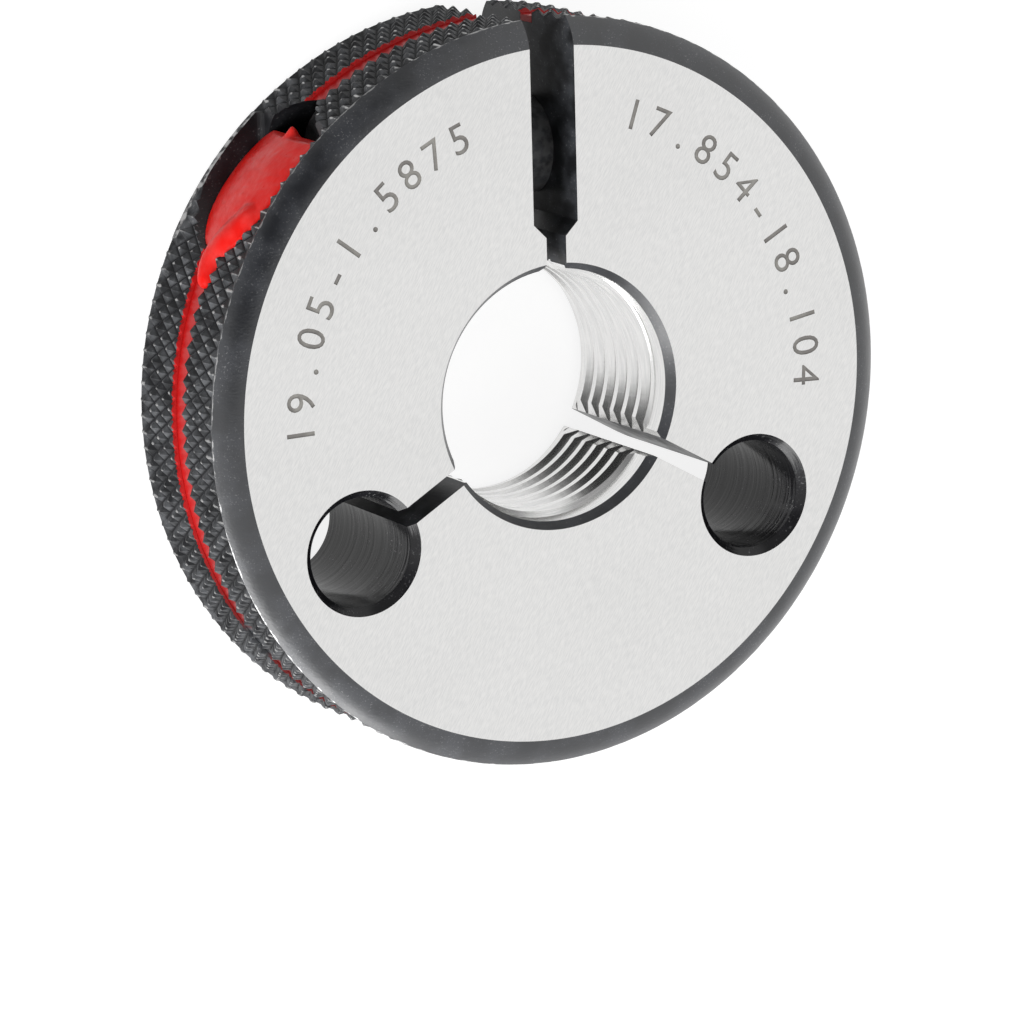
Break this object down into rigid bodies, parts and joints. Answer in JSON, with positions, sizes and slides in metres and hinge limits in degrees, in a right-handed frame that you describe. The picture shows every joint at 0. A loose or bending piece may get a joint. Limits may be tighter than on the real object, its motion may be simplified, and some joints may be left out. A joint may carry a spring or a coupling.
{
  "type": "thread ring gauge",
  "caption": "Round knurled thread ring gauge with a threaded bore, an adjusting slot bridged by a locking device, flexing slots and a wax-sealed screw recess.",
  "frame": {"origin": "on the gauge's axis, at the lower face that it rests on", "axes": "+Z along the bore, towards the marked face; +Y along the adjusting slot, out through the rim; +X across the slot, from the locking screw towards the adjusting screw"},
  "size_m": [0.054, 0.0539, 0.0135],
  "materials": {
    "gauge_steel": "hardened steel: faces and thread ground bright, rim, rounded edges, slots and holes black oxide",
    "screw_steel": "black oxide",
    "red_enamel": "matt red enamel in the marking groove",
    "sealing_wax": "glossy red sealing wax with faint pale streaks"
  },
  "bodies": {
    "root": {"ring_body": "gauge_steel", "sleeve": "screw_steel", "locking_screw": "screw_steel", "adjusting_screw": "screw_steel", "groove_enamel": "red_enamel", "wax_seal": "sealing_wax"}
  },
  "joints": []
}
